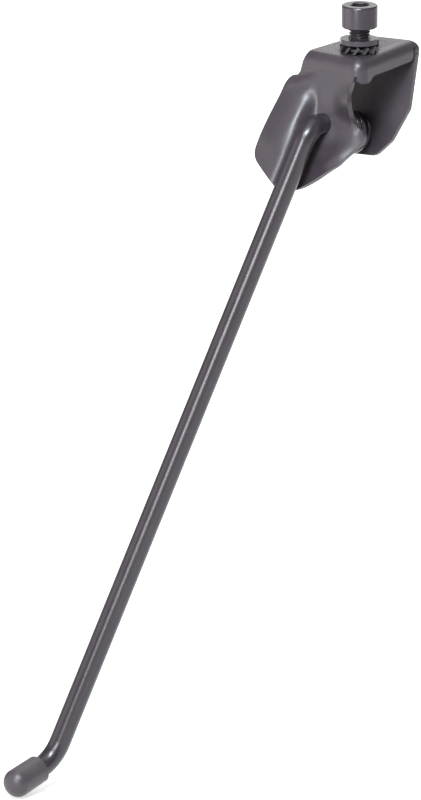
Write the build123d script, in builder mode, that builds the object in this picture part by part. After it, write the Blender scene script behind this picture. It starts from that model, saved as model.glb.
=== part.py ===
"""Bicycle kickstand: a pressed steel bracket, a sprung bent leg and the bolt that clamps it.

Frame: the origin is where the bolt's axis meets the top plate, with +Z up, +Y forward and +X inwards.
Sizes are in millimetres and degrees. The leg, the spring and both cheeks share one pivot frame:
its x runs down the leg, its y to the rear and its z outwards along the pivot axis.
"""
import os
from math import atan2, ceil, cos, degrees, hypot, radians, sin, sqrt, tan, tanh

from build123d import *

# Bracket: the sheet and the box that it is drawn into
sheet = 3.0                 # thickness of the pressed sheet
bend_radius = 5.5           # outside radius of the drawn corner and of the bends beside it
far_bend = 4.2              # outside radius of the bend to the far cheek
near_reach = 16.0           # bolt axis to the outside of the near cheek
rear_reach = 14.5           # bolt axis to the outside of the rear lip, measured at the near cheek
rear_skew = 10.0            # turn of the rear lip
front_reach = 19.3          # bolt axis to the front edge, measured at the near cheek
front_skew = 3.5            # turn of the front edge
front_lean = 18.0           # how far the cut of the front edge leans forward on its way down
lip_depth = 8.0             # depth at which the near cheek leaves the drawn box
far_depth = 6.5             # depth of the far bend, below which the far cheek is flat

# Lower edge of the rear lip from the drawn corner's lobe to its free end, each turn with its radius
lip_edge = [
    ((-14.8, -8.0), 0.4),
    ((-14.2, -11.5), 1.5),
    ((-8.2, -11.5), 2.5),
    ((-4.6, -9.2), 3.0),
    ((32.2, -9.2), 2.4),
    ((32.5, -3.3), 0.4),
]

# Pivot: where its axis stands and how it leans
pivot_at = (-18.8, 7.5, -32.7)
pivot_tilt = 18.0           # rise of the axis towards the leg
pivot_turn = 14.0           # turn of the axis to the rear, seen from above
cheek_span = 40.6           # cam face to the outside of the far cheek
running_gap = 0.08          # radial clearance of the shaft in both cheeks

# Leg: one bent round bar
leg_diameter = 10.0
leg_rake = 15.7             # turn of the leg to the front, from the steepest line
leg_bend = 10.0             # centreline radius of the bend at the pivot
leg_stand = 0.3             # straight part of the shaft outside the cam face
leg_length = 312.5          # pivot axis to the start of the foot's bend
foot_bend = 53.4            # angle of the foot
foot_turn = 10.0            # turn of the foot to the front, from straight outwards
foot_radius = 18.0          # centreline radius of the foot's bend
foot_length = 13.0          # straight end inside the cap
shaft_end = 4.5             # shaft past the outside of the far cheek
bar_chamfer = 1.0

# Cam: the wing in front of the leg, the ridge behind it and the bulge over the folded leg
wing_over = 0.2             # wing's top above the leg's centreline
wing_setback = 3.6          # middle of the wing's flank from the leg's centreline
wing_softness = 2.4         # length over which the flank rolls
wing_detour = 6.6           # how far the flank stands aside at the top of the wing
wing_span = (-17.0, 18.0)   # where the wing starts to rise, and where it is full
detour_span = (-24.0, 22.0)     # where the flank starts to close on the leg, and where it meets it
shoulder_height = 2.0       # step at the top of the wing
shoulder_at = (-17.2, -20.4)    # front end of the step
shoulder_slope = 0.6        # how fast the step climbs to the rear
shoulder_run = 5.0          # length over which the step rises
shoulder_fade = (-5.0, 15.0)    # where the step starts to merge with the wing, and where it is gone
crown_drop = 3.2            # fall of the wing at its front edge
crown_span = (-10.0, -26.0)     # where the wing starts to fall off, and where it has fallen so far
crown_rise = (-20.0, 0.0)   # where the fall sets in, and where it is full
ridge_gap = 0.7             # ridge's top to the swinging leg
ridge_middle = 50.0         # direction of the ridge, from the leg
ridge_half = 50.0
ridge_span = (9.0, 20.0)    # distance from the pivot at which the ridge starts, and is full
bulge_height = 3.5
bulge_at = -15.0
bulge_half = 10.0
bulge_span = (0.0, 12.0)
crease = 2.2                # softness of the fold between the cam and the upright cheek
cam_smoothing = (1, 1, 1)   # weights of the surface's length, curvature and twist
cam_degree = 6              # highest degree of the surface
cam_step = 2.7              # spacing of the points that the cam's surface goes through

# Outline of the cam cheek in the pivot frame, each corner with its radius
cam_outline = [
    ((-33.0, -19.2), 1.0),
    ((-18.8, -19.7), 2.0),
    ((-16.9, -20.6), 0.8),
    ((-15.6, -24.7), 4.5),
    ((25.4, -22.7), 8.0),
    ((36.2, -2.4), 5.0),
    ((14.1, 18.2), 12.0),
    ((-3.0, 24.4), 4.0),
    ((-7.8, 14.4), 3.0),
    ((-19.5, 10.6), 4.0),
    ((-33.0, 11.2), 1.0),
]

# Outline of the far cheek round the pivot axis: x straight down the sheet, y to the rear
far_outline = [
    ((-70.0, 26.0), 1.0),
    ((-14.2, 26.0), 4.0),
    ((1.5, 19.3), 3.0),
    ((9.5, 12.0), 6.0),
    ((9.5, -6.5), 7.0),
    ((-4.0, -10.5), 8.0),
    ((-42.0, -8.0), 5.0),
    ((-70.0, -8.0), 1.0),
]

# Tapped hole in the top plate
thread_diameter = 10.0
thread_gap = 0.04           # radial clearance of the bolt in its thread
collar_diameter = 14.5
collar_depth = 6.0          # tapped collar drawn down under the plate
coin_diameter = 19.6        # shallow ring coined flat round the hole, for the washers
coin_depth = 0.2

# Mounting bolt and its washers
head_diameter = 16.8
head_height = 10.7
head_stand = 11.6           # top plate to the underside of the head
head_edge = 0.9
socket_width = 8.0
socket_depth = 5.5
socket_turn = -49.5
bolt_length = 22.0
bolt_chamfer = 1.2
washer_hole = 10.4
tooth_count = 12
tooth_ring = 14.4           # outside of the toothed washer's plain ring
tooth_reach = 18.0          # across the points of its teeth
tooth_sheet = 1.2
tooth_width = 4.0
tooth_twist = 50.0
split_outside = 18.1
split_sheet = 2.4
split_rise = 0.6            # how far the ends of the split washer are sprung apart
split_gap = 14.0            # angle of the split
split_turn = -62.0

# Spring, its seat and its clip
wire = 2.8
spring_outside = 20.0
spring_turns = 5.5
seat_diameter = 21.0
seat_sheet = 2.0
seat_edge = 0.25
clip_sheet = 1.4
clip_outside = 16.0
clip_mouth = 6.4
groove_depth = 1.0
clip_gap = 0.05
inner_stand = 2.6           # clip to the inside of the far cheek
seat_gap = 0.15

# Foot cap
cap_diameter = 13.6
cap_barrel = 15.2           # length of the straight barrel
cap_dome = 6.3
cap_rim = 0.8
cap_gap = 0.05
cap_taper = 0.2             # how much thinner the rim is than the barrel's end

os.makedirs("parts", exist_ok=True)

# Pivot frame
lean = radians(pivot_tilt)
turn = radians(pivot_turn)
outward = Vector(-cos(lean) * cos(turn), -cos(lean) * sin(turn), sin(lean))
steepest = (Vector(0, 0, -1) + outward * outward.Z).normalized()
leg_line = steepest.rotate(Axis((0, 0, 0), outward), -leg_rake)
pivot = Plane(origin=pivot_at, x_dir=leg_line, z_dir=outward)
sheet_pivot = Plane(origin=pivot_at, x_dir=steepest, z_dir=outward)
pivot_axis = Axis(pivot_at, outward)
lip_level = Plane.XY.offset(-lip_depth)

# Sizes that follow from those above
leg_radius = leg_diameter / 2
leg_offset = leg_stand + leg_bend
wing_height = leg_offset + wing_over
ridge_height = leg_offset - leg_radius - ridge_gap
far_inside = cheek_span - sheet
clip_at = far_inside - inner_stand
seat_at = clip_at - clip_sheet - clip_gap
spring_inner = seat_at - seat_sheet - seat_gap
spring_outer = sheet + seat_gap
inward = Vector(-outward.X, -outward.Y, 0).normalized()
front_tilt = radians(front_lean)
front_start = Vector(-near_reach, front_reach, 0)
front_normal = Vector(0, cos(front_tilt), sin(front_tilt)).rotate(Axis.Z, front_skew)
corner_reach = 0.8 * bend_radius        # how far round the drawn corner the near cheek is followed
corner_length = bend_radius * tan(radians(45 + rear_skew / 2))  # drawn corner to the start of its curve
work = 3 * cheek_span       # longer than anything that a cut has to reach


def smooth_step(value, span):
    """Rise from 0 to 1 over the span, level at both ends."""
    share = min(max((value - span[0]) / (span[1] - span[0]), 0.0), 1.0)
    return share * share * (3 - 2 * share)


def hump(value):
    """Single hump, 1 in the middle and 0 from -1 and 1 outwards."""
    return (1 - value * value) ** 2 if abs(value) < 1 else 0.0


def soft_max(first, second, softness):
    """Larger of two heights, with the corner between them rounded."""
    near = max(softness - abs(first - second), 0.0) / softness
    return max(first, second) + near * near * softness / 4


def cam_height(along, aside):
    """Height of the near cheek's outside above the pivot plane: upright cheek, wing, ridge and bulge.

    The upright cheek turns round the drawn corner. The wing starts with a step and falls off to the front.
    """
    foot = pivot.from_local_coords(Vector(along, aside, 0))
    upright = (-near_reach - foot.X) / outward.X
    past = min(max(corner_length - rear_reach - foot.Y - upright * outward.Y, 0.0), corner_reach)
    upright += (bend_radius - sqrt(bend_radius ** 2 - past ** 2)) / outward.X
    upright += bulge_height * hump((along - bulge_at) / bulge_half) * smooth_step(aside, bulge_span)
    flank = wing_setback + wing_detour * (1 - smooth_step(along, detour_span))
    inside = (1 + tanh((-aside - flank) / wing_softness)) / 2
    wing = wing_height * smooth_step(along, wing_span) * inside
    below = along - shoulder_at[0] + shoulder_slope * (aside - shoulder_at[1])
    shoulder = shoulder_height * smooth_step(below, (0, shoulder_run)) * inside
    shoulder *= 1 - smooth_step(along, shoulder_fade)
    fall = max((aside - crown_span[0]) / (crown_span[1] - crown_span[0]), 0.0)
    crown = crown_drop * fall * fall * smooth_step(along, crown_rise)
    bearing = degrees(atan2(aside, along))
    ridge = ridge_height * hump((bearing - ridge_middle) / ridge_half)
    ridge *= smooth_step(hypot(along, aside), ridge_span)
    return soft_max(upright, wing + ridge, crease) + shoulder - crown


def steps(low, high, spacing):
    """Evenly spaced values from low to high."""
    count = ceil((high - low) / spacing)
    return [low + (high - low) * number / count for number in range(count + 1)]


def rounded_outline(corners):
    """Closed outline through the corners, each rounded to its own radius."""
    points = [corner for corner, radius in corners]
    radii = [radius for corner, radius in corners]
    FilletPolyline(*points, radius=radii, close=True)


def far_reach(span, level):
    """Distance of a sheet parallel to the far cheek from the bolt's axis, at a level."""
    return inward.dot(Vector(*pivot_at)) + (span + (level - pivot_at[2]) * outward.Z) / cos(lean)


plate_end = far_reach(cheek_span, 0) - far_bend * tan(radians(45 + pivot_tilt / 2))


def pressed_form(inset, front_over, far_end):
    """Solid inside the drawn box, set in from its outside by the inset and run on past the front edge."""
    front_cut = Plane(front_start + Vector(0, front_over, 0), z_dir=front_normal)
    rear_normal = Vector(0, 1, 0).rotate(Axis.Z, rear_skew)
    rear_start = Vector(-near_reach, -rear_reach, 0) + rear_normal * inset
    with BuildPart() as form:
        with Locations((inset - near_reach, 0, -inset)):
            Box(work, 2 * work, work, align=(Align.MIN, Align.CENTER, Align.MAX))
        split(bisect_by=Plane(rear_start, z_dir=rear_normal), keep=Keep.TOP)
        split(bisect_by=front_cut, keep=Keep.BOTTOM)
        split(bisect_by=Plane(inward * far_end, z_dir=inward), keep=Keep.BOTTOM)
        upper = form.faces().sort_by(Axis.Z)[-1].edges().sort_by(Axis.Y)[:-1].sort_by(Axis.X)
        drawn_corner = form.edges().filter_by(Axis.Z).sort_by(Axis.Y)[0]
        fillet(upper[:-1] + [drawn_corner], bend_radius - inset)
    return form.part


# Far cheek: flat sheet below the far bend
with BuildPart() as far_cheek:
    with BuildSketch(sheet_pivot.offset(-cheek_span)):
        with BuildLine():
            rounded_outline(far_outline)
        make_face()
    extrude(amount=sheet)
    split(bisect_by=Plane.XY.offset(-far_depth), keep=Keep.BOTTOM)

# Far bend: one profile from the plate to the far cheek, run from the rear edge to the front cut
rear_edge = sheet_pivot.y_dir * (sheet_pivot.y_dir.dot(Vector(*pivot_at)) + far_outline[0][0][1])
with BuildPart() as far_turn:
    with BuildSketch(Plane(rear_edge, x_dir=inward, z_dir=sheet_pivot.y_dir)):
        with BuildLine():
            upper = FilletPolyline((plate_end - sheet, 0), (far_reach(cheek_span, 0), 0),
                                   (far_reach(cheek_span, -far_depth), -far_depth), radius=far_bend)
            lower = FilletPolyline((plate_end - sheet, -sheet), (far_reach(far_inside, -sheet), -sheet),
                                   (far_reach(far_inside, -far_depth), -far_depth), radius=far_bend - sheet)
            Line(upper @ 0, lower @ 0)
            Line(upper @ 1, lower @ 1)
        make_face()
    extrude(amount=-work)
    add(pressed_form(0, 0, 2 * plate_end), mode=Mode.INTERSECT)

# Trim of the drawn box: all below the lip goes

skirt_start = [((work, -work), 1.0), ((-work, -work), 1.0), ((-work, -lip_depth), 1.0)]
skirt_end = [((work, lip_edge[-1][0][1]), 1.0)]
with BuildPart() as skirt:
    with BuildSketch(Plane.XZ.offset(-work)):
        with BuildLine():
            rounded_outline(skirt_start + lip_edge + skirt_end)
        make_face()
    extrude(amount=2 * work)

# Near cheek: a smooth surface through the cam's heights, thickened to the sheet and cut to its outline
reach_along = [corner[0] for corner, radius in cam_outline]
reach_aside = [corner[1] for corner, radius in cam_outline]
rows = steps(min(reach_along) - cam_step, max(reach_along) + cam_step, cam_step)
columns = steps(min(reach_aside) - cam_step, max(reach_aside) + cam_step, cam_step)
cam_points = [[pivot.from_local_coords(Vector(along, aside, cam_height(along, aside))) for aside in columns]
              for along in rows]

with BuildPart() as cam_blank:
    with BuildSketch(pivot.offset(-cheek_span)):
        with BuildLine():
            rounded_outline(cam_outline)
        make_face()
    extrude(amount=2 * cheek_span)

cam_surface = Face.make_surface_from_array_of_points(cam_points, smoothing=cam_smoothing, max_deg=cam_degree)
cam_face = cam_surface.intersect(cam_blank.part).faces()[0]

with BuildPart() as cam_cheek:
    thicken(cam_face, amount=-sheet)
    split(bisect_by=lip_level, keep=Keep.BOTTOM)

with BuildPart() as bracket:
    add(pressed_form(0, 0, plate_end))
    add(pressed_form(sheet, work, 2 * plate_end), mode=Mode.SUBTRACT)
    add(skirt.part, mode=Mode.SUBTRACT)
    add(far_turn.part)
    add(far_cheek.part)
    add(cam_cheek.part)
    with BuildSketch(Plane.XY.offset(-sheet)):
        Circle(collar_diameter / 2)
    extrude(amount=-collar_depth)
    with BuildSketch():
        Circle(thread_diameter / 2 + thread_gap)
    extrude(amount=-sheet - collar_depth, mode=Mode.SUBTRACT)
    with BuildSketch():
        Circle(coin_diameter / 2)
    extrude(amount=-coin_depth, mode=Mode.SUBTRACT)
    with BuildSketch(pivot):
        Circle(leg_radius + running_gap)
    extrude(amount=work, both=True, mode=Mode.SUBTRACT)
bracket.part.label = "bracket"
export_step(bracket.part, "parts/bracket.step")

# Leg: shaft, bend, straight and foot in one sweep
foot_side = Vector(0, -sin(radians(foot_turn)), cos(radians(foot_turn)))
foot_line = Vector(1, 0, 0) * cos(radians(foot_bend)) + foot_side * sin(radians(foot_bend))
foot_corner = Vector(leg_length + foot_radius * tan(radians(foot_bend / 2)), 0, leg_offset)
foot_start = foot_corner + foot_line * (foot_radius * tan(radians(foot_bend / 2)))
foot_tip = foot_start + foot_line * foot_length

with BuildPart() as leg:
    with BuildLine() as leg_path:
        turns = [Vector(0, 0, -cheek_span - shaft_end), Vector(0, 0, leg_offset), foot_corner, foot_tip]
        FilletPolyline(*[pivot.from_local_coords(point) for point in turns], radius=[leg_bend, foot_radius])
    with BuildSketch(pivot.offset(-cheek_span - shaft_end)):
        Circle(leg_radius)
    sweep(path=leg_path.wires()[0])
    inner_end = leg.faces().sort_by(pivot_axis)[0]
    chamfer(inner_end.edges(), bar_chamfer)
    with BuildSketch(pivot.offset(-clip_at)):
        Circle(leg_radius + bar_chamfer)
        Circle(leg_radius - groove_depth, mode=Mode.SUBTRACT)
    extrude(amount=clip_sheet, mode=Mode.SUBTRACT)
leg.part.label = "leg"
export_step(leg.part, "parts/leg.step")

# Foot cap: bullet-shaped, turned about the foot
cap_at = pivot.from_local_coords(foot_start)
cap_line = pivot.from_local_coords(foot_tip) - cap_at
cap_plane = Plane(origin=cap_at, x_dir=cap_line, z_dir=cap_line.cross(outward))
cap_radius = cap_diameter / 2
cap_bore = leg_radius + cap_gap

with BuildPart() as foot_cap:
    with BuildSketch(cap_plane):
        with BuildLine():
            Polyline((foot_length, 0), (foot_length, cap_bore), (0, cap_bore),
                     (0, cap_radius - cap_taper - cap_rim))
            Line((0, cap_radius - cap_taper - cap_rim), (cap_rim, cap_radius - cap_taper))
            Line((cap_rim, cap_radius - cap_taper), (cap_barrel, cap_radius))
            EllipticalCenterArc((cap_barrel, 0), cap_dome, cap_radius, arc_size=90)
            Line((cap_barrel + cap_dome, 0), (foot_length, 0))
        make_face()
    revolve(axis=Axis(cap_at, cap_line))
foot_cap.part.label = "foot_cap"
export_step(foot_cap.part, "parts/foot_cap.step")

# Pivot spring: coil with both ends ground flat
spring_length = spring_inner - spring_outer
coil_radius = (spring_outside - wire) / 2
pitch = spring_length / spring_turns
spring_base = pivot.offset(-spring_inner)

with BuildPart() as pivot_spring:
    with BuildLine() as coil:
        Helix(pitch=pitch, height=spring_length + pitch, radius=coil_radius,
              center=spring_base.offset(-pitch / 2).origin, direction=outward)
    with BuildSketch(Plane(origin=coil.line @ 0, z_dir=coil.line % 0)):
        Circle(wire / 2)
    sweep(path=coil.line, is_frenet=True)
    with BuildSketch(spring_base):
        Circle(spring_outside)
    extrude(amount=spring_length, mode=Mode.INTERSECT)
pivot_spring.part.label = "pivot_spring"
export_step(pivot_spring.part, "parts/pivot_spring.step")

# Seat washer under the spring's inner end
with BuildPart() as spring_seat:
    with BuildSketch(pivot.offset(-seat_at)):
        Circle(seat_diameter / 2)
        Circle(leg_radius + running_gap, mode=Mode.SUBTRACT)
    extrude(amount=seat_sheet)
    chamfer(spring_seat.edges().filter_by(GeomType.CIRCLE), seat_edge)
spring_seat.part.label = "spring_seat"
export_step(spring_seat.part, "parts/spring_seat.step")

# Retaining clip: open ring in the shaft's groove
with BuildPart() as retaining_clip:
    with BuildSketch(pivot.offset(-clip_at + clip_gap / 2)):
        Circle(clip_outside / 2)
        Circle(leg_radius - groove_depth + clip_gap, mode=Mode.SUBTRACT)
        with Locations((clip_outside / 2, 0)):
            Rectangle(clip_outside, clip_mouth, mode=Mode.SUBTRACT)
    extrude(amount=clip_sheet - clip_gap)
retaining_clip.part.label = "retaining_clip"
export_step(retaining_clip.part, "parts/retaining_clip.step")

# Mounting bolt: socket-head cap screw, its thread drawn as a plain cylinder
with BuildPart() as mounting_bolt:
    with BuildSketch(Plane.XY.offset(head_stand)):
        Circle(head_diameter / 2)
    extrude(amount=head_height)
    fillet(mounting_bolt.faces().sort_by(Axis.Z)[-1].edges(), head_edge)
    with BuildSketch(Plane.XY.offset(head_stand + head_height)):
        RegularPolygon(socket_width / 2, side_count=6, major_radius=False, rotation=socket_turn)
    extrude(amount=-socket_depth, mode=Mode.SUBTRACT)
    with BuildSketch(Plane.XY.offset(head_stand)):
        Circle(thread_diameter / 2)
    extrude(amount=-bolt_length)
    chamfer(mounting_bolt.faces().sort_by(Axis.Z)[0].edges(), bolt_chamfer)
mounting_bolt.part.label = "mounting_bolt"
export_step(mounting_bolt.part, "parts/mounting_bolt.step")

# Toothed washer: plain ring with twisted teeth round it
tooth_height = tooth_width * sin(radians(tooth_twist)) + tooth_sheet * cos(radians(tooth_twist))
tooth_middle = tooth_height / 2 - coin_depth

with BuildPart() as toothed_washer:
    with BuildSketch(Plane.XY.offset(tooth_middle - tooth_sheet / 2)):
        Circle(tooth_ring / 2)
        Circle(washer_hole / 2, mode=Mode.SUBTRACT)
    extrude(amount=tooth_sheet)
    tooth_root = tooth_ring / 2 - tooth_sheet
    with Locations(Location((0, 0, tooth_middle))):
        with PolarLocations((tooth_root + tooth_reach / 2) / 2, tooth_count):
            Box(tooth_reach / 2 - tooth_root, tooth_width, tooth_sheet, rotation=(tooth_twist, 0, 0))
toothed_washer.part.label = "toothed_washer"
export_step(toothed_washer.part, "parts/toothed_washer.step")

# Split washer: one sprung turn of flat bar
split_base = tooth_height - coin_depth
split_middle = (split_outside + washer_hole) / 4
split_share = 1 - split_gap / 360

with BuildPart() as split_washer:
    with BuildLine() as split_path:
        Helix(pitch=split_rise / split_share, height=split_rise, radius=split_middle,
              center=(0, 0, split_base + split_sheet / 2))
    with BuildSketch(Plane(origin=split_path.line @ 0, x_dir=(1, 0, 0), z_dir=split_path.line % 0)):
        Rectangle((split_outside - washer_hole) / 2, split_sheet)
    sweep(path=split_path.line, is_frenet=True)
split_washer.part = split_washer.part.rotate(Axis.Z, split_turn)
split_washer.part.label = "split_washer"
export_step(split_washer.part, "parts/split_washer.step")
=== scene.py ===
"""Looks of a bicycle kickstand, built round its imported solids."""

from math import radians

import bpy
import numpy as np
from mathutils import Matrix, Vector


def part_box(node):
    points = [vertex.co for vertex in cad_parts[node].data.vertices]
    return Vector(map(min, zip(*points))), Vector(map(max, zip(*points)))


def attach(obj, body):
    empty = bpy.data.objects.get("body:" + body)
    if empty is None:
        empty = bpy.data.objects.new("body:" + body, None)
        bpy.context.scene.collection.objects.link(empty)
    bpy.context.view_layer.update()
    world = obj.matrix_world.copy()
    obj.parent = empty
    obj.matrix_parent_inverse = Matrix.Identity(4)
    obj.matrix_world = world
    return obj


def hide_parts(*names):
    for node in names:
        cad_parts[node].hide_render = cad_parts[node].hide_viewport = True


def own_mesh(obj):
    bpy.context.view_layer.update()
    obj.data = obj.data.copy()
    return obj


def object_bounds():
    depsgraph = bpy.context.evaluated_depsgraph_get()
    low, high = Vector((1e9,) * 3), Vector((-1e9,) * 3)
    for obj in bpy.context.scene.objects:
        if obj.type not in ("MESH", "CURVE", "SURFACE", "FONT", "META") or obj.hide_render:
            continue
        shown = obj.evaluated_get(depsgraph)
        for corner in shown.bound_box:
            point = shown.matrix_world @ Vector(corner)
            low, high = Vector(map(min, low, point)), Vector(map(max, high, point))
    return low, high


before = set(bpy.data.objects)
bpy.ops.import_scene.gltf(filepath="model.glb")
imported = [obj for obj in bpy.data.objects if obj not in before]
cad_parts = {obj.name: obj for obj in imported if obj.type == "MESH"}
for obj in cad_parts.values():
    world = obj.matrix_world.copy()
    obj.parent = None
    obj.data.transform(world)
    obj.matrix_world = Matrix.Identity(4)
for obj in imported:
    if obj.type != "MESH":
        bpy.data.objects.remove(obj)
cad_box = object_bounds()

MM = 0.001

# Camera: the photograph's angle, from far off
photo_size = (421, 800)
pixels_per_mm = 2.15
origin_pixel = (359.5, 51.3)    # where the bolt's axis meets the top plate
camera_azimuth = -49.5
camera_elevation = 14.5
camera_distance = 6000.0    # in millimetres
camera_sight = 100          # furthest that it sees, in metres

# Knurl on the top plate, in millimetres
knurl_pitch = 1.15          # spacing of the teeth along both of their rows
knurl_turn = 42.0           # turn of the rows, in degrees
knurl_height = 0.13         # tooth above the plate
knurl_root = 0.05           # tooth below the plate's surface
knurl_foot = 0.88           # width of a tooth at the plate
knurl_tip = 0.6             # width of its blunt tip
knurl_margin = 0.5          # plain border inside the flat of the plate
knurl_reach = 60            # teeth to each side of the bolt, before the lattice is cut to the plate
near_flat = -10.5           # where the bend to the near cheek starts
rear_flat = ((-16.0, -14.5), 10.0, 5.5)     # point on the rear lip, its turn and the width of its bend
front_edge = ((-16.0, 19.3), 3.5)           # point on the front edge and its turn
far_flat = (14.0, 26.9)     # turn of the far bend, and how far from the bolt it starts
coin_radius = 9.8           # plain ring round the bolt

# Mounting bolt, in millimetres and degrees
head_radius = 8.4
head_height = 10.7
head_stand = 11.6           # plate to the underside of the head
head_edge = 0.9             # radius of the head's top edge
edge_rows = 7               # rows of points round it
under_edge = 0.45           # chamfer under the head
socket_width = 8.0
socket_depth = 5.5
socket_turn = -49.5         # where one of the socket's corners points
drill_tip = (0.4, 1.6)      # radius at the point of the drilled cone in the socket's floor, and its depth
socket_brim = 0.25          # how far the socket's countersink goes past its corners
brim_slope = 0.6            # fall of the countersink for each millimetre inwards
bolt_end = -10.4            # height of the shank's end
end_chamfer = 1.2
neck_drop = 0.3             # from the head to the first thread
thread_pitch = 1.5
thread_crest = 4.98
thread_depth = 0.85
thread_runout = 0.6         # length over which the ridge grows to its full height
ridge_height = 1.2          # ridge before its crest is cut flat, in thread depths
ridge_slope = 2.6           # fall of its flanks over one pitch, in thread depths
sharp_fold = 28.0           # least fold that is shaded as a sharp edge

# Pivot and the spring round it, in millimetres and degrees
pivot_at = np.array([-18.8, 7.5, -32.7])
pivot_tilt = 18.0           # rise of the pivot's axis towards the leg
pivot_turn = 14.0           # its turn to the rear
wire = 2.8
spring_outside = 20.0
spring_turns = 5.5

# Finishes: each noise has a scale and a detail, and lengths are in metres
colour_noise = (90, 4)
gloss_noise = (55, 2)
edge_noise = (420, 3)
grain_detail = 3
noise_span = (0.3, 0.7)     # values of a noise at which a ramp starts and ends
edge_span = (0.8, 0.985)    # likeness of the normals between which the painted-shade band at a cut edge fades
# Painted shade on the cut edges of the sheet: dark tints that hold back their pale glancing reflection
edge_shade_dark = (0.01, 0.009, 0.0095)
edge_shade_light = (0.02, 0.018, 0.019)
edge_gloss = (0.6, 0.72)    # least and most roughness of that band
edge_samples = 6
fine_edge = 0.0003          # radius of most softened edges


def mesh_piece(name, points, faces, *caps):
    """Mesh object at the origin from points in millimetres, an array of faces and any end caps."""
    mesh = bpy.data.meshes.new(name)
    mesh.from_pydata((points * MM).tolist(), [], faces.tolist() + [cap.tolist() for cap in caps])
    mesh.update()
    piece = bpy.data.objects.new(name, mesh)
    bpy.context.scene.collection.objects.link(piece)
    return piece


def tube_piece(name, rings):
    """Closed tube through rings of points: four-sided faces between the rings, and two flat ends."""
    count, around = rings.shape[:2]
    i, j = np.meshgrid(np.arange(count - 1), np.arange(around), indexing="ij")
    after = (j + 1) % around
    corners = [i * around + j, (i + 1) * around + j, (i + 1) * around + after, i * around + after]
    first = np.arange(around)
    last = first[::-1] + (count - 1) * around
    return mesh_piece(name, rings.reshape(-1, 3), np.stack(corners, axis=-1).reshape(-1, 4), first, last)


def leaning_side(point, turn):
    """Unit normal of a plate edge that is turned from the x axis, and its distance from the bolt."""
    normal = np.array([-np.sin(radians(turn)), np.cos(radians(turn))])
    return normal, normal @ np.array(point)


def knurl_places():
    """Middles of the knurl's teeth: a square lattice turned about the bolt,
    kept where it is inside the plate's four edges and outside the coined ring."""
    steps = np.arange(-knurl_reach, knurl_reach + 1) * knurl_pitch
    along, across = np.meshgrid(steps, steps, indexing="ij")
    turn = radians(knurl_turn)
    x = (along * np.cos(turn) - across * np.sin(turn)).ravel()
    y = (along * np.sin(turn) + across * np.cos(turn)).ravel()
    border = knurl_margin + knurl_foot / 2
    rear_normal, rear_level = leaning_side(rear_flat[0], rear_flat[1])
    front_normal, front_level = leaning_side(front_edge[0], front_edge[1])
    inward = np.array([np.cos(radians(far_flat[0])), np.sin(radians(far_flat[0]))])
    kept = ((x > near_flat + border)
            & (x * rear_normal[0] + y * rear_normal[1] > rear_level + rear_flat[2] + border)
            & (x * front_normal[0] + y * front_normal[1] < front_level - border)
            & (x * inward[0] + y * inward[1] < far_flat[1] - border)
            & (np.hypot(x, y) > coin_radius + border))
    return np.column_stack([x[kept], y[kept]])


def knurl_teeth(name):
    """Blunt four-sided pyramids: two squares, a wide one in the plate and a small one above it,
    carried to every place of the lattice by adding the two arrays."""
    turn = radians(knurl_turn) + np.arange(4) * np.pi / 2 + np.pi / 4
    ring = np.column_stack([np.cos(turn), np.sin(turn)]) / np.sqrt(2)
    root_growth = 1 + knurl_root / knurl_height * (1 - knurl_tip / knurl_foot)
    foot = np.column_stack([ring * knurl_foot * root_growth, np.full(4, -knurl_root)])
    tip = np.column_stack([ring * knurl_tip, np.full(4, knurl_height)])
    tooth = np.concatenate([foot, tip])
    places = knurl_places()
    middles = np.column_stack([places, np.zeros(len(places))])
    points = (middles[:, None, :] + tooth[None, :, :]).reshape(-1, 3)
    sides = np.array([[i, (i + 1) % 4, (i + 1) % 4 + 4, i + 4] for i in range(4)])
    quads = np.concatenate([sides, [[4, 5, 6, 7]], [[3, 2, 1, 0]]])
    faces = (np.arange(len(places))[:, None, None] * len(tooth) + quads[None, :, :]).reshape(-1, 4)
    return mesh_piece(name, points, faces)


def thread_radius(turn, level):
    """Radius of a screw thread at an angle and a height: a blunt ridge wherever height over pitch,
    less the turn's share, is half past a whole number, fading out under the head."""
    phase = np.mod(level / thread_pitch - turn / (2 * np.pi), 1.0)
    ridge = np.clip(ridge_height - ridge_slope * np.abs(phase - 0.5), 0, 1)
    fade = np.clip((head_stand - neck_drop - level) / thread_runout, 0, 1)
    return thread_crest - thread_depth * (1 - ridge * fade)


def socket_bolt(name, around=144, threads=230):
    """Bolt as one turned surface: rows of radius and height from the socket's floor, over the head and
    down the shank to its end. The socket's radius is a hexagon's: half its width over the cosine of the
    angle from the middle of a side. Its countersink is a cone that meets the hexagon in six arcs."""
    turn = np.arange(around) / around * 2 * np.pi
    hexagon = socket_width / 2 / np.cos(np.mod(turn - radians(socket_turn), np.pi / 3) - np.pi / 6)
    brim = socket_width / 2 / np.cos(np.pi / 6) + socket_brim
    top = head_stand + head_height
    rows = [(drill_tip[0], top - socket_depth - drill_tip[1]), (hexagon, top - socket_depth),
            (hexagon, top - (brim - hexagon) * brim_slope), (brim, top)]
    rows += [(head_radius - head_edge + head_edge * np.sin(lean), top - head_edge + head_edge * np.cos(lean))
             for lean in np.linspace(0, np.pi / 2, edge_rows)]
    rows += [(head_radius, head_stand + under_edge), (head_radius - under_edge, head_stand),
             (thread_crest, head_stand)]
    rows += [(thread_radius(turn, level), level)
             for level in np.linspace(head_stand - neck_drop, bolt_end + end_chamfer, threads)]
    rows += [(thread_crest - thread_depth, bolt_end)]
    radius = np.array([np.broadcast_to(row[0], around) for row in rows])
    height = np.array([np.broadcast_to(row[1], around) for row in rows])
    return tube_piece(name, np.stack([radius * np.cos(turn), radius * np.sin(turn), height], axis=-1))


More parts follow.
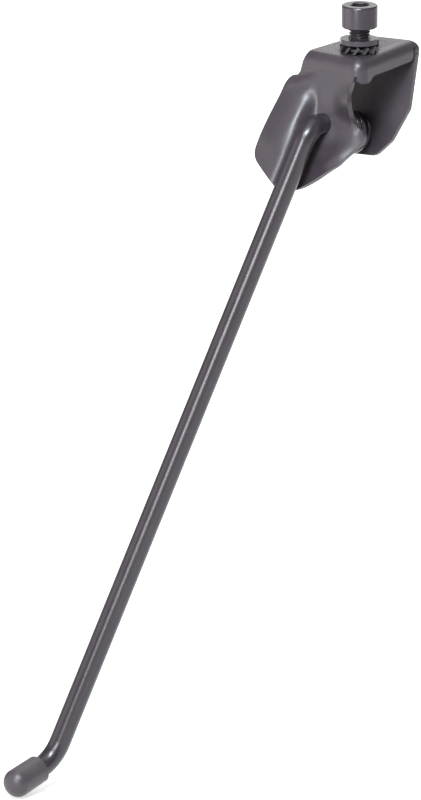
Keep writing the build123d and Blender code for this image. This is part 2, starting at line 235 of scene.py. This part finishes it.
def coil_spring(name, outward, span, around=20, steps=260):
    """Round wire carried along a helix: a circle, in the plane of the axis and the radius, goes round the
    pivot and along it at once. What would stand past either end is pressed flat, like a ground end."""
    length = span[1] - span[0]
    along = np.linspace(0, length, steps)
    turn, ring = np.meshgrid(along / length * spring_turns * 2 * np.pi,
                             np.arange(around) / around * 2 * np.pi, indexing="ij")
    radius = (spring_outside - wire) / 2 + wire / 2 * np.cos(ring)
    level = span[0] + np.clip(along[:, None] + wire / 2 * np.sin(ring), 0, length)
    side = np.cross(outward, [0, 0, 1.0])
    side /= np.linalg.norm(side)
    above = np.cross(outward, side)
    return tube_piece(name, pivot_at + level[..., None] * outward + radius[..., None] * (
        np.cos(turn)[..., None] * side + np.sin(turn)[..., None] * above))


def set_socket(shader, values):
    """Constant values on a shader's own sockets."""
    for name, value in values.items():
        shader.inputs[name].default_value = value


def new_material(name):
    """Material with an empty node tree, its output and one principled shader."""
    material = bpy.data.materials.new(name)
    material.use_nodes = True
    nodes = material.node_tree.nodes
    nodes.clear()
    output = nodes.new("ShaderNodeOutputMaterial")
    shader = nodes.new("ShaderNodeBsdfPrincipled")
    material.node_tree.links.new(shader.outputs["BSDF"], output.inputs["Surface"])
    return material, shader


def noise(tree, scale, detail):
    """Noise over the object's own coordinates."""
    place = tree.nodes.new("ShaderNodeTexCoord")
    texture = tree.nodes.new("ShaderNodeTexNoise")
    set_socket(texture, {"Scale": scale, "Detail": detail})
    tree.links.new(place.outputs["Object"], texture.inputs["Vector"])
    return texture.outputs["Fac"]


def ramp(tree, value, low, high, span=noise_span):
    """Two colours or greys that a value goes between, over a span of it."""
    node = tree.nodes.new("ShaderNodeValToRGB")
    node.color_ramp.elements[0].position = span[0]
    node.color_ramp.elements[1].position = span[1]
    node.color_ramp.elements[0].color = (*low, 1)
    node.color_ramp.elements[1].color = (*high, 1)
    tree.links.new(value, node.inputs["Fac"])
    return node.outputs["Color"]


def rounded_edge(tree, radius):
    """Normal that turns softly over sharp edges, and its likeness to the face's own: 1 away from edges."""
    bevel = tree.nodes.new("ShaderNodeBevel")
    bevel.samples = edge_samples
    set_socket(bevel, {"Radius": radius})
    geometry = tree.nodes.new("ShaderNodeNewGeometry")
    likeness = tree.nodes.new("ShaderNodeVectorMath")
    likeness.operation = "DOT_PRODUCT"
    tree.links.new(bevel.outputs["Normal"], likeness.inputs[0])
    tree.links.new(geometry.outputs["Normal"], likeness.inputs[1])
    return bevel.outputs["Normal"], likeness.outputs["Value"]


def mixed(tree, share, first, second):
    """Colour between two, by a share."""
    node = tree.nodes.new("ShaderNodeMix")
    node.data_type = "RGBA"
    tree.links.new(share, node.inputs["Factor"])
    tree.links.new(first, node.inputs["A"])
    tree.links.new(second, node.inputs["B"])
    return node.outputs["Result"]


def grey(value):
    """Colour with the same value in all three channels."""
    return (value, value, value)


def finish_material(name, dark, light, gloss, grain, metallic, ior, edge_radius=fine_edge, shade_band_width=None):
    """Paint or blackened steel: mottled colour, uneven gloss, a fine grain in relief and softened edges.
    Gloss is the least and the most roughness; grain is the noise's scale and the relief's depth.
    Where a band width is given, the cut edges of the sheet get a duller, broken band of painted shade,
    darker than the paint."""
    material, shader = new_material(name)
    tree = material.node_tree
    set_socket(shader, {"Metallic": metallic, "IOR": ior})
    colour = ramp(tree, noise(tree, *colour_noise), dark, light)
    roughness = ramp(tree, noise(tree, *gloss_noise), grey(gloss[0]), grey(gloss[1]))
    if shade_band_width:
        likeness = rounded_edge(tree, shade_band_width)[1]
        # Painted shade: the cut edges' colour is darkened towards these tints, and their roughness raised
        shade_band = ramp(tree, likeness, grey(1), grey(0), edge_span)
        shade_tint = ramp(tree, noise(tree, *edge_noise), edge_shade_dark, edge_shade_light)
        colour = mixed(tree, shade_band, colour, shade_tint)
        dull = ramp(tree, noise(tree, *edge_noise), grey(edge_gloss[0]), grey(edge_gloss[1]))
        roughness = mixed(tree, shade_band, roughness, dull)
    tree.links.new(colour, shader.inputs["Base Color"])
    tree.links.new(roughness, shader.inputs["Roughness"])
    bump = tree.nodes.new("ShaderNodeBump")
    set_socket(bump, {"Strength": 1.0, "Distance": grain[1]})
    tree.links.new(noise(tree, grain[0], grain_detail), bump.inputs["Height"])
    tree.links.new(rounded_edge(tree, edge_radius)[0], bump.inputs["Normal"])
    tree.links.new(bump.outputs["Normal"], shader.inputs["Normal"])
    return material


# Bracket paint, with a band of painted shade on the sheet's cut edges
paint = finish_material(
    "satin_paint", dark=(0.0275, 0.021, 0.026), light=(0.0345, 0.027, 0.0325),
    gloss=(0.36, 0.41), grain=(900, 0.00002), metallic=0.0, ior=1.48, shade_band_width=0.0011)
# Painted shade: the leg's paint is the bracket's paint made darker, to darken its shaded side
shaded_bar_paint = finish_material(
    "shaded_bar_paint", dark=(0.0155, 0.0112, 0.0145), light=(0.0205, 0.0152, 0.0195),
    gloss=(0.27, 0.31), grain=(900, 0.00001), metallic=0.0, ior=1.52)
# Painted light: the knurl's paint is the bracket's paint made lighter, for the light that its upturned tips
# catch
lit_knurl_paint = finish_material(
    "lit_knurl_paint", dark=(0.06, 0.049, 0.056), light=(0.09, 0.077, 0.085),
    gloss=(0.18, 0.26), grain=(1500, 0.00001), metallic=0.0, ior=1.55, edge_radius=0.00005)
steel = finish_material(
    "blackened_steel", dark=(0.036, 0.029, 0.0345), light=(0.052, 0.0435, 0.0505),
    gloss=(0.2, 0.27), grain=(1200, 0.00002), metallic=0.5, ior=1.5)
tooth_steel = finish_material(
    "oiled_steel", dark=(0.022, 0.02, 0.021), light=(0.045, 0.041, 0.043),
    gloss=(0.3, 0.5), grain=(1200, 0.00002), metallic=0.4, ior=1.5, edge_radius=0.0002)
wire_finish = finish_material(
    "oiled_wire", dark=(0.1, 0.088, 0.096), light=(0.15, 0.135, 0.145),
    gloss=(0.17, 0.26), grain=(1500, 0.00001), metallic=0.8, ior=1.5, edge_radius=0.0002)
rubber = finish_material(
    "cap_rubber", dark=(0.036, 0.029, 0.033), light=(0.046, 0.038, 0.042),
    gloss=(0.36, 0.46), grain=(700, 0.00003), metallic=0.0, ior=1.5)

finishes = {"bracket": paint, "leg": shaded_bar_paint, "foot_cap": rubber, "spring_seat": steel,
            "retaining_clip": wire_finish, "split_washer": steel, "toothed_washer": tooth_steel}
for node, finish in finishes.items():
    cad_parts[node].material_slots[0].material = finish

# Knurl and bolt
knurl = knurl_teeth("plate_knurl")
knurl.data.materials.append(lit_knurl_paint)
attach(knurl, "bracket")

bolt = socket_bolt("socket_bolt")
bolt.data.materials.append(steel)
bolt.data.shade_smooth()
bolt.data.set_sharp_from_angle(angle=radians(sharp_fold))
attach(bolt, "bracket")
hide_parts("mounting_bolt")

# Spring: between the near cheek and the seat washer, which the leg's lift brings nearer
tilt = radians(pivot_tilt)
turned = radians(pivot_turn)
outward = np.array([-np.cos(tilt) * np.cos(turned), -np.cos(tilt) * np.sin(turned), np.sin(tilt)])
solid_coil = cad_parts["pivot_spring"].data.vertices
coil_points = np.empty(len(solid_coil) * 3)
solid_coil.foreach_get("co", coil_points)
coil_levels = (coil_points.reshape(-1, 3) / MM - pivot_at) @ outward
coil_span = (coil_levels.min(), coil_levels.max())
spring = coil_spring("coil_spring", outward, coil_span)
spring.data.materials.append(wire_finish)
spring.data.shade_smooth()
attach(spring, "bracket")
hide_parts("pivot_spring")
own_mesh(spring)

# Camera
azimuth = radians(camera_azimuth)
elevation = radians(camera_elevation)
image_right = np.array([np.cos(azimuth), np.sin(azimuth), 0])
level_view = np.array([np.sin(azimuth), -np.cos(azimuth), 0])
world_up = np.array([0, 0, 1.0])
towards_camera = level_view * np.cos(elevation) + world_up * np.sin(elevation)
image_up = np.cross(towards_camera, image_right)
frame_height = photo_size[1] / pixels_per_mm
middle = (image_right * (photo_size[0] / 2 - origin_pixel[0])
          - image_up * (photo_size[1] / 2 - origin_pixel[1])) / pixels_per_mm

camera_data = bpy.data.cameras.new("camera")
camera_data.lens = camera_data.sensor_width * camera_distance / frame_height
camera_data.clip_end = camera_sight
camera = bpy.data.objects.new("camera", camera_data)
camera.matrix_world = Matrix.Translation(Vector((middle + towards_camera * camera_distance) * MM)) @ Matrix(
    np.array([image_right, image_up, towards_camera]).T.tolist()).to_4x4()
bpy.context.scene.collection.objects.link(camera)
bpy.context.scene.camera = camera


def soft_light(name, place, size, power, colour):
    """Softbox that faces the bracket, with its size in metres and its power in watts.
    Its place is how far right, up and towards the camera it is from the bolt, in metres."""
    data = bpy.data.lights.new(name, "AREA")
    data.shape = "RECTANGLE"
    data.size, data.size_y = size
    data.energy = power
    data.color = colour
    lamp = bpy.data.objects.new(name, data)
    spot = place[0] * image_right + place[1] * world_up + place[2] * level_view
    lamp.location = spot
    lamp.rotation_euler = Vector(-spot).to_track_quat("-Z", "Y").to_euler()
    lamp.visible_camera = False
    bpy.context.scene.collection.objects.link(lamp)


cool_white = (0.86, 0.93, 1.0)
warm_white = (1.0, 0.97, 0.98)
soft_light("top_box", (-0.1, 1.4, 0.1), (1.2, 1.2), 5, (1.0, 0.98, 0.99))
soft_light("high_front_box", (-0.08, 0.97, 0.96), (0.36, 0.3), 27, cool_white)
soft_light("high_left_box", (-0.42, 1.0, 0.85), (0.35, 0.35), 9, cool_white)
soft_light("left_box", (-1.25, 0.12, 0.2), (1.1, 0.9), 4.5, warm_white)
soft_light("front_strip", (-0.5, 0.3, 1.22), (0.36, 0.65), 15, (0.96, 0.97, 1.0))
soft_light("right_box", (1.2, 0.45, 0.5), (0.3, 0.5), 0.5, warm_white)
soft_light("back_box", (0.2, 0.9, -1.0), (0.8, 0.8), 6, warm_white)
soft_light("low_back_box", (0.0, 0.5, -1.5), (1.8, 0.5), 3, (1.0, 0.98, 0.985))


def seen_directly(tree):
    """1 for rays from the camera and for mirrored or transmitted ones, 0 for the light on the object."""
    path = tree.nodes.new("ShaderNodeLightPath")
    share = path.outputs["Is Camera Ray"]
    for name in ("Is Glossy Ray", "Is Transmission Ray"):
        larger = tree.nodes.new("ShaderNodeMath")
        larger.operation = "MAXIMUM"
        tree.links.new(share, larger.inputs[0])
        tree.links.new(path.outputs[name], larger.inputs[1])
        share = larger.outputs["Value"]
    return share


# Room: even light from all round
room_light = 0.27
world = bpy.data.worlds.new("studio")
bpy.context.scene.world = world
world.use_nodes = True
set_socket(world.node_tree.nodes["Background"], {"Color": (1, 0.985, 0.99, 1), "Strength": room_light})

# Floor: a pale sheet that takes the shadow near the foot and is plain white further off
floor_drop = 0.0005         # under the foot, in metres
floor_reach = 30.0          # half its width, in metres
floor_grey = 0.6
glow_span = (0.1, 0.9)      # distance from the foot over which the sheet turns white, in metres
glow_near = 0.6             # its own white near the foot
floor_level = cad_box[0].z - floor_drop
corners = np.array([[-1, -1], [1, -1], [1, 1], [-1, 1]]) * floor_reach / MM
floor_points = np.column_stack([corners, np.full(4, floor_level / MM)])
floor = mesh_piece("floor", floor_points, np.array([[0, 1, 2, 3]]))
floor_material, floor_shader = new_material("pale_floor")
floor_tree = floor_material.node_tree
set_socket(floor_shader, {"Base Color": (*grey(floor_grey), 1), "Roughness": 1.0, "Specular IOR Level": 0.0,
                          "Emission Color": (1, 1, 1, 1)})
floor_place = floor_tree.nodes.new("ShaderNodeTexCoord")
from_foot = floor_tree.nodes.new("ShaderNodeVectorMath")
from_foot.operation = "DISTANCE"
foot_low, foot_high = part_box("foot_cap")
from_foot.inputs[1].default_value = (foot_low + foot_high) / 2
floor_tree.links.new(floor_place.outputs["Object"], from_foot.inputs[0])
floor_glow = floor_tree.nodes.new("ShaderNodeMapRange")
set_socket(floor_glow, {"From Min": glow_span[0], "From Max": glow_span[1],
                        "To Min": glow_near, "To Max": 1.0})
floor_tree.links.new(from_foot.outputs["Value"], floor_glow.inputs["Value"])
floor_seen = floor_tree.nodes.new("ShaderNodeMath")
floor_seen.operation = "MULTIPLY"
floor_tree.links.new(floor_glow.outputs["Result"], floor_seen.inputs[0])
floor_tree.links.new(seen_directly(floor_tree), floor_seen.inputs[1])
floor_tree.links.new(floor_seen.outputs["Value"], floor_shader.inputs["Emission Strength"])
floor.data.materials.append(floor_material)

bpy.context.scene.view_settings.view_transform = "Standard"
